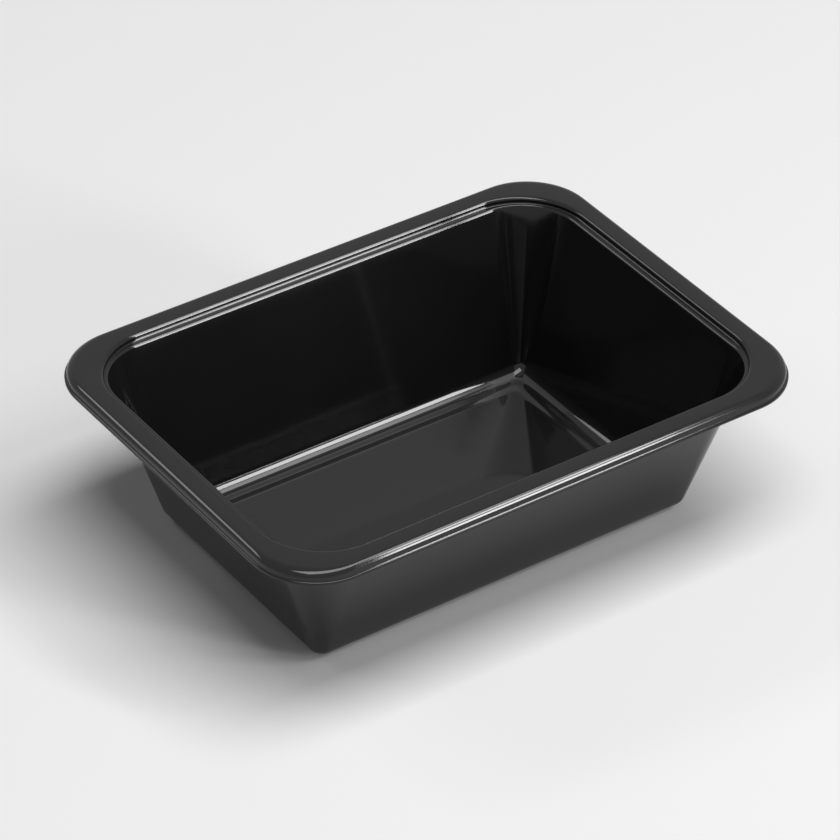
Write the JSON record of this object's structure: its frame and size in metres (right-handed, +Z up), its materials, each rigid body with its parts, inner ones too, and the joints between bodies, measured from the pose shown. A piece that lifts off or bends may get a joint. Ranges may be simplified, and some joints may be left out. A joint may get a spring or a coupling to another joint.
{
  "type": "meal tray",
  "caption": "Rectangular black plastic meal tray with a flat flange, turned-down rim, inner ledge, sloping walls and a slightly sunk floor panel.",
  "frame": {"origin": "middle of the base, on the plane the tray stands on", "axes": "+X along the long side, +Y along the short side, +Z up, out of the open top"},
  "size_m": [0.187, 0.137, 0.055],
  "materials": {
    "tray": "glossy"
  },
  "bodies": {
    "root": {"tray": "tray"}
  },
  "joints": []
}
